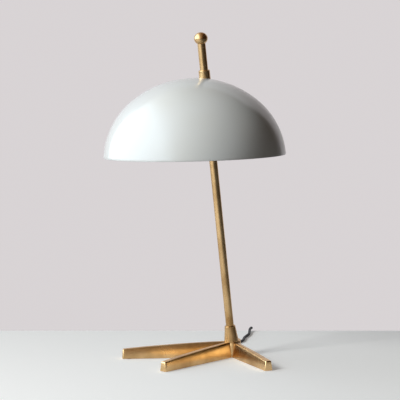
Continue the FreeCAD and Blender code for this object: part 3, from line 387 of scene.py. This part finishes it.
class LAMP_OT_stage(bpy.types.Operator):
    """Floor, wall, light and camera"""

    bl_idname = "lamp.stage"
    bl_label = "Stage"

    def execute(self, context):
        settings = context.scene.lamp_stage
        bm = bmesh.new()
        bmesh.ops.create_grid(bm, x_segments=1, y_segments=1, size=TABLE_REACH)
        self.put("table_top", bm, self.table(settings))

        bm = bmesh.new()
        bmesh.ops.create_grid(bm, x_segments=1, y_segments=1, size=0.5)
        middle = Matrix.Translation((WALL_MIDDLE[0], settings.wall_distance, WALL_MIDDLE[1]))
        upright = middle @ Matrix.Rotation(math.pi / 2, 4, "X")
        bmesh.ops.transform(bm, matrix=upright @ Matrix.Diagonal((*WALL_SIZE, 1, 1)), verts=bm.verts)
        self.put("wall", bm, self.wall(settings.wall))
        self.room(context, settings)
        self.window(settings)
        self.camera(context)
        context.scene.view_settings.view_transform = "Standard"
        return {"FINISHED"}

    def put(self, name, bm, material):
        mesh = bpy.data.meshes.new(name)
        bm.to_mesh(mesh)
        bm.free()
        mesh.materials.append(material)
        thing = bpy.data.objects.new(name, mesh)
        bpy.context.scene.collection.objects.link(thing)

    def table(self, settings):
        """Plain pale table that throws little light up and shows a little paler than it is lit. In metal it
        shows painted light: its full colour on the window side, fading to dark towards the right.
        """
        table = Shader("pale_table", settings.table, roughness=0.8, Specular_IOR_Level=0.0)
        # Painted light: seen in metal, the table's colour and paleness fade by place from the window side to
        # the dark right.
        seen = self.seen_rays(table.tree, self.painted_window_fade(table))
        table.colour(seen, [c * settings.table_bounce for c in settings.table], settings.table, 0, 1)
        table.surface.inputs["Emission Color"].default_value = (*settings.table, 1)
        glow = math_node(table.tree, "MULTIPLY", seen, settings.table_glow)
        table.link(glow, table.surface.inputs["Emission Strength"])
        return table.material

    def painted_window_fade(self, table):
        """Painted light: 1 on the window side of the table, 0 towards the dark end of the room, set by place
        on the table rather than by the lamp.
        """
        towards_window = table.node("ShaderNodeVectorMath", operation="DOT_PRODUCT")
        towards_window.inputs[1].default_value = (-0.8, 0.4, 0)
        table.link(table.place, towards_window.inputs[0])
        return math_node(table.tree, "MULTIPLY_ADD", towards_window.outputs["Value"], 2.8, 1.4, clamp=True)

    def seen_rays(self, tree, in_metal=1.0):
        """1 for what the camera sees, also through glass and, by a share, in metal, otherwise 0."""
        path = tree.nodes.new("ShaderNodeLightPath").outputs
        total = math_node(tree, "MULTIPLY", path["Is Glossy Ray"], in_metal)
        for kind in ("Is Camera Ray", "Is Transmission Ray"):
            total = math_node(tree, "ADD", total, path[kind], clamp=True)
        return total

    def wall(self, colour):
        """A wall that shows from the front and lets everything through from behind."""
        material = bpy.data.materials.new("pale_wall")
        material.use_nodes = True
        tree = material.node_tree
        nodes, links = tree.nodes, tree.links
        nodes.remove(nodes["Principled BSDF"])
        shown, clear = nodes.new("ShaderNodeEmission"), nodes.new("ShaderNodeBsdfTransparent")
        shown.inputs["Color"].default_value = (*colour, 1)
        from_behind = nodes.new("ShaderNodeNewGeometry").outputs["Backfacing"]
        mix = nodes.new("ShaderNodeMixShader")
        seen = math_node(tree, "SUBTRACT", self.seen_rays(tree), from_behind, clamp=True)
        links.new(seen, mix.inputs["Fac"])
        links.new(clear.outputs[0], mix.inputs[1])
        links.new(shown.outputs[0], mix.inputs[2])
        links.new(mix.outputs[0], nodes["Material Output"].inputs["Surface"])
        return material

    def room(self, context, settings):
        """The world: bright at the window on the left, dim on the right, and pale where it is seen."""
        world = bpy.data.worlds.new("studio")
        world.use_nodes = True
        world.cycles.sampling_method = "NONE"
        context.scene.world = world
        tree = world.node_tree
        nodes, links = tree.nodes, tree.links
        direction = nodes.new("ShaderNodeSeparateXYZ")
        links.new(nodes.new("ShaderNodeTexCoord").outputs["Generated"], direction.inputs[0])
        ramp = nodes.new("ShaderNodeValToRGB")
        stops = ramp.color_ramp.elements
        stops[1].position = ROOM[-1][0]
        stops[0].position = ROOM[0][0]
        for place, _ in ROOM[1:-1]:
            stops.new(place)
        for stop, (_, colour) in zip(stops, ROOM):
            stop.color = (*colour, 1)
        rightward = math_node(tree, "MULTIPLY_ADD", direction.outputs["X"], 0.5, 0.5)
        links.new(rightward, ramp.inputs["Fac"])
        in_metal = nodes.new("ShaderNodeLightPath").outputs["Is Glossy Ray"]
        more_shine = settings.window_shine - settings.fill
        brightness = math_node(tree, "MULTIPLY_ADD", in_metal, more_shine, settings.fill)
        lit = nodes.new("ShaderNodeVectorMath")
        lit.operation = "SCALE"
        links.new(ramp.outputs["Color"], lit.inputs[0])
        links.new(brightness, lit.inputs["Scale"])
        mix = nodes.new("ShaderNodeMix")
        mix.data_type = "RGBA"
        unseen, seen = [socket for socket in mix.inputs if socket.type == "RGBA"]
        links.new(self.shown_world(tree, direction.outputs["Y"]), mix.inputs["Factor"])
        links.new(lit.outputs[0], unseen)
        seen.default_value = (*settings.wall, 1)
        mixed = next(socket for socket in mix.outputs if socket.type == "RGBA")
        links.new(mixed, nodes["Background"].inputs["Color"])

    def shown_world(self, tree, depth):
        """1 where the pale background shows: to the camera, through glass, and in metal from behind."""
        path = tree.nodes.new("ShaderNodeLightPath").outputs
        behind = math_node(tree, "MULTIPLY_ADD", depth, 2.5, -1.5, clamp=True)
        total = math_node(tree, "MULTIPLY", behind, path["Is Glossy Ray"])
        for kind in ("Is Camera Ray", "Is Transmission Ray"):
            total = math_node(tree, "ADD", total, path[kind], clamp=True)
        return total

    def window(self, settings):
        """The soft light from the left, which metal doesn't show."""
        data = bpy.data.lights.new("window", "AREA")
        data.shape = "SQUARE"
        data.size = WINDOW_SIZE
        data.energy = settings.key
        data.color = WINDOW_COLOUR
        lamp = bpy.data.objects.new("window", data)
        lamp.location = WINDOW_PLACE
        lamp.visible_glossy = False
        lamp.rotation_euler = (WINDOW_AIM - WINDOW_PLACE).to_track_quat("-Z", "Y").to_euler()
        bpy.context.scene.collection.objects.link(lamp)

    def camera(self, context):
        data = bpy.data.cameras.new("photo_camera")
        data.lens = 135
        data.sensor_width = 36
        data.clip_end = 50
        camera = bpy.data.objects.new("photo_camera", data)
        camera.location = CAMERA_PLACE
        camera.rotation_euler = (CAMERA_TILT, 0, 0)
        context.scene.collection.objects.link(camera)
        context.scene.camera = camera


# The lead's way over the table, from the bush to the coil, in millimetres.
LEAD_ROUTE = [
    (-0.74, 41.5, 7.2),
    (-0.2, 56.0, 6.0),
    (1.0, 76.0, 3.4),
    (3.4, 98.0, 2.55),
    (9.5, 117.0, 2.55),
    (19.0, 130.0, 2.55),
    (22.6, 147.0, 2.55),
    (24.2, 167.0, 2.55),
    (29.6, 185.0, 2.55),
    (34.2, 204.0, 2.55),
    (35.6, 224.0, 2.75),
    (36.6, 240.0, 5.4),
    (40.2, 252.0, 6.0),
    (43.6, 268.0, 3.2),
]
LEAD_FLOOR = 0.00255
COIL_MIDDLE = Vector((5.0, 302.0, 0)) * MM
COIL_TURNS = 4
TURN_POINTS = 16
COIL_ENTRY_Y = 0.290
CLIMB_TURNS = 0.5
CLIMB_SQUEEZE = 0.001
COIL_EXIT_RUN = 0.006
PLUG_ENTRY_X = -0.007

# Bush and plug in millimetres: the ribs are radius and distance along the piece.
BUSH_PLACE = Vector((-0.74, 0, 7.22)) * MM
BUSH_SEAT = [(2.55, 11.5), (3.55, 11.5), (3.55, 15.5), (5.4, 15.5), (5.4, 17.5)]
BUSH_END = [(3.2, 41.2), (2.9, 41.5), (2.55, 41.5), (2.55, 11.5)]
BUSH_RIBS = 7
BUSH_RIB_PITCH = 3.3
PLUG_TAIL_LENGTH = 0.024
PLUG_ROUNDING = 0.0034
PLUG_FACE_INSET = 0.0022
PLUG_FACE_SINK = 0.0003
TAIL_RIBS = 6
TAIL_RIB_PITCH = 3.6
RIB_ROUNDING = 0.00012


class LAMP_OT_lead(bpy.types.Operator):
    """Cloth-covered lead with its coil, bush and plug"""

    bl_idname = "lamp.lead"
    bl_label = "Lead"

    def execute(self, context):
        settings = context.scene.lamp_lead
        cloth = braid(settings)
        black = moulding("black_moulding", (0.022, 0.022, 0.023))
        points = [Vector(p) * MM for p in LEAD_ROUTE] + self.coil(settings)
        curve = bpy.data.curves.new("cloth_lead", "CURVE")
        curve.dimensions = "3D"
        spline = curve.splines.new("NURBS")
        spline.points.add(len(points) - 1)
        for point, place in zip(spline.points, points):
            point.co = (*place, 1)
        spline.order_u = 3
        spline.use_endpoint_u = True
        spline.resolution_u = 4
        curve.bevel_depth = settings.diameter / 2
        curve.bevel_resolution = 4
        curve.use_fill_caps = True
        curve.materials.append(cloth)
        lead = bpy.data.objects.new("cloth_lead", curve)
        context.scene.collection.objects.link(lead)
        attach(lead, "base")
        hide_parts("mains_cord", "cord_coil")
        plug = self.plug(black)
        self.bush(black)
        dress(plated("bright_blades", (0.80, 0.68, 0.42), 0.24), "plug_blades")
        dress(cloth, "riser_cable", "arm_lead")
        return {"FINISHED"}

    def coil(self, settings):
        """Points of the coil: in on the table, up in the half turn inside, out on top, on to the plug."""
        steps = int((2 * COIL_TURNS + CLIMB_TURNS / 2) * TURN_POINTS)
        outside = 2 / (1 + math.cos(math.pi / TURN_POINTS))
        points = [Vector((COIL_MIDDLE.x + settings.coil_radius, COIL_ENTRY_Y, LEAD_FLOOR))]
        for step in range(steps + 1):
            turns = step / TURN_POINTS
            climb = min(1.0, max(0.0, (turns - COIL_TURNS) / CLIMB_TURNS))
            inward = min(turns, COIL_TURNS) - max(0.0, turns - COIL_TURNS - CLIMB_TURNS)
            radius = settings.coil_radius - settings.coil_pitch * inward
            radius -= CLIMB_SQUEEZE * math.sin(math.pi * climb)
            angle = 2 * math.pi * turns
            around = Vector((math.cos(angle), math.sin(angle), 0)) * radius * outside
            points.append(COIL_MIDDLE + around + Vector((0, 0, LEAD_FLOOR + settings.coil_pitch * climb)))
        points.append(points[-1] - Vector((COIL_EXIT_RUN, 0, 0)))
        points.append(Vector((PLUG_ENTRY_X, points[-1].y, LEAD_FLOOR + settings.coil_pitch)))
        return points

    def bush(self, material):
        """Bush and ribbed bend relief where the lead leaves the base."""
        points = list(BUSH_SEAT)
        for rib in range(BUSH_RIBS):
            z = 18.0 + rib * BUSH_RIB_PITCH
            radius = 4.3 - 0.15 * rib
            points += [(radius, z), (radius, z + 2.1), (radius - 0.55, z + 2.3), (radius - 0.55, z + 3.1)]
        points += BUSH_END
        place = Matrix.Translation(BUSH_PLACE) @ Matrix.Rotation(-math.pi / 2, 4, "X")
        bush = turned("ribbed_bush", points, material, "base", place, RIB_ROUNDING, 48)
        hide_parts("cord_bush")

    def plug(self, material):
        """Moulded plug with a ribbed tail."""
        bm = bmesh.new()
        bmesh.ops.create_cube(bm, size=1)
        low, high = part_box("plug_body")
        body_length = high.x - low.x - PLUG_TAIL_LENGTH
        size = Vector((body_length, high.y - low.y, high.z - low.z))
        bmesh.ops.transform(bm, matrix=Matrix.Diagonal((*size, 1)), verts=bm.verts)
        ends = [f for f in bm.faces if f.normal.x < -0.5]
        bmesh.ops.inset_region(bm, faces=ends, thickness=PLUG_FACE_INSET, depth=-PLUG_FACE_SINK)
        soften(bm, PLUG_ROUNDING, segments=5)
        middle = (low + high) / 2
        bmesh.ops.translate(bm, vec=(low.x + body_length / 2, middle.y, middle.z), verts=bm.verts)
        plug = finish_mesh("moulded_plug", bm, material, "base")
        points = [(0, 0), (2.8, 0)]
        for rib in range(TAIL_RIBS):
            z = 1.5 + rib * TAIL_RIB_PITCH
            radius = 3.0 + 0.33 * rib
            points += [(radius, z), (radius + 0.1, z + 2.3), (radius - 0.5, z + 2.5), (radius - 0.4, z + 3.4)]
        points += [(5.0, 23.6), (5.0, 26), (0, 26)]
        place = Matrix.Translation((high.x, middle.y, middle.z)) @ Matrix.Rotation(-math.pi / 2, 4, "Y")
        tail = turned("plug_tail", points, material, "base", place, RIB_ROUNDING, 48)
        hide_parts("plug_body")
        tail.parent = plug
        return plug


class LAMP_OT_base(bpy.types.Operator):
    """Bird's-foot base, cone, stem and ball"""

    bl_idname = "lamp.base"
    bl_label = "Base and stem"

    def execute(self, context):
        settings = context.scene.lamp_brass
        cast = brass(settings, "cast_brass", swell=(0.013, 7.0), duller=0.04)
        tube = brass(settings, "tube_brass")
        dress(cast, "foot_casting")
        dress(tube, "stem_tube", "stem_ferrule", "ball_knob")
        dress(felt(), "leg_pads", "hub_pad")
        zinc = plated("zinc_plate", (0.62, 0.62, 0.60), 0.35)
        dress(zinc, "hub_cover", "stem_nipple", "lock_washer", "nipple_nut")
        return {"FINISHED"}


CROWN_STEPS = 34
SHOULDER_STEPS = 30
RIM_STEPS = 6
DOME_STEPS = 192


class LAMP_OT_dome(bpy.types.Operator):
    """Enamelled dome and its collar"""

    bl_idname = "lamp.dome"
    bl_label = "Dome"

    def execute(self, context):
        settings = context.scene.lamp_dome
        bm = bmesh.new()
        crown = Vector((0, 0, settings.depth - settings.crown))
        rim = Vector((settings.radius, 0, 0))
        way = rim - crown
        inner = settings.crown - settings.shoulder
        along = (inner**2 - settings.shoulder**2 + way.length_squared) / (2 * way.length)
        off = math.sqrt(inner**2 - along**2)
        way.normalize()
        shoulder = crown + way * along + Vector((-way.z, 0, way.x)) * off
        join = math.atan2(shoulder.x - crown.x, shoulder.z - crown.z)
        edge = math.atan2(rim.x - shoulder.x, rim.z - shoulder.z)
        top = bm.verts.new((0, 0, settings.depth))
        last = self.arc(bm, top, crown, join, CROWN_STEPS)
        last = self.arc(bm, last, shoulder, edge - join, SHOULDER_STEPS)
        inward = (shoulder - rim).normalized()
        last = self.arc(bm, last, rim + inward * (settings.wall / 2), math.pi, RIM_STEPS)
        last = self.arc(bm, last, shoulder, join - edge, SHOULDER_STEPS)
        self.arc(bm, last, crown, -join, CROWN_STEPS)
        spin_round(bm, DOME_STEPS)
        forward = Matrix.Rotation(LEAN_TURN, 4, "Z") @ Vector((settings.forward, 0, 0))
        middle = Matrix.Translation((forward.x, forward.y, settings.height))
        place = middle @ Matrix.Rotation(-settings.droop, 4, "Y")
        dome = finish_mesh("enamel_dome", bm, enamel(settings), "head", place, sharp=50, merge=1e-5)
        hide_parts("shade")
        dress(brass(context.scene.lamp_brass, "collar_brass"), "top_collar")
        return {"FINISHED"}

    def arc(self, bm, start, middle, angle, steps):
        """Draws on from a vertex along an arc, and gives the last vertex."""
        made = bmesh.ops.spin(
            bm,
            geom=[start],
            cent=middle,
            axis=(0, 1, 0),
            dvec=(0, 0, 0),
            angle=angle,
            steps=steps,
            use_merge=False,
        )
        return next(v for v in made["geom_last"] if isinstance(v, bmesh.types.BMVert))


class LAMP_OT_fittings(bpy.types.Operator):
    """Height clamp, carrier, arm, lampholder and bulb"""

    bl_idname = "lamp.fittings"
    bl_label = "Fittings"

    def execute(self, context):
        settings = context.scene.lamp_brass
        metal = brass(settings, "fitting_brass")
        dress(metal, "clamp_collar", "clamp_screw", "carrier_hub", "arm_tube", "holder_cap", "holder_shell")
        dress(moulding("pressed_fibre", (0.32, 0.20, 0.12), 0.8), "thrust_washer", "holder_liner")
        dress(plated("turned_aluminium", (0.78, 0.78, 0.77), 0.3), "angle_washer", "bulb_cap", "bulb_contact")
        dress(plated("spring_steel", (0.50, 0.50, 0.50), 0.3), "wave_washer")
        contact = plated("contact_brass", (0.78, 0.60, 0.32), 0.25)
        dress(contact, "screw_shell", "centre_contact", "switch_spindle")
        dress(moulding("black_switch", (0.02, 0.02, 0.02), 0.35), "switch_knob")
        dress(moulding("brown_switch_block", (0.07, 0.035, 0.02), 0.3), "switch_block")
        dress(clear_glass(), "bulb_glass", "bulb_mount")
        sticks = Shader("coated_sticks", (0.86, 0.60, 0.16), roughness=0.6)
        sticks.colour(sticks.noise(900), (0.80, 0.52, 0.12), (0.90, 0.68, 0.24))
        dress(sticks.material, "bulb_filament")
        return {"FINISHED"}


class LAMP_PT_panel(bpy.types.Panel):
    """Steps and settings of the lamp"""

    bl_idname = "LAMP_PT_panel"
    bl_label = "Desk lamp"
    bl_space_type = "VIEW_3D"
    bl_region_type = "UI"
    bl_category = "Lamp"

    def draw(self, context):
        for operator in OPERATORS:
            self.layout.operator(operator.bl_idname)
        for name in SETTINGS:
            group = getattr(context.scene, name)
            for setting in group.__annotations__:
                self.layout.prop(group, setting)


OPERATORS = (LAMP_OT_stage, LAMP_OT_lead, LAMP_OT_base, LAMP_OT_dome, LAMP_OT_fittings)
SETTINGS = {
    "lamp_stage": LampStageSettings,
    "lamp_lead": LampLeadSettings,
    "lamp_brass": LampBrassSettings,
    "lamp_dome": LampDomeSettings,
}


def register():
    for group in (*SETTINGS.values(), *OPERATORS, LAMP_PT_panel):
        bpy.utils.register_class(group)
    for name, group in SETTINGS.items():
        setattr(bpy.types.Scene, name, bpy.props.PointerProperty(type=group))


def unregister():
    for name in SETTINGS:
        delattr(bpy.types.Scene, name)
    for group in reversed((*SETTINGS.values(), *OPERATORS, LAMP_PT_panel)):
        bpy.utils.unregister_class(group)


def main():
    register()
    bpy.ops.lamp.stage()
    bpy.ops.lamp.lead()
    bpy.ops.lamp.base()
    bpy.ops.lamp.dome()
    bpy.ops.lamp.fittings()


if __name__ == "__main__":
    main()
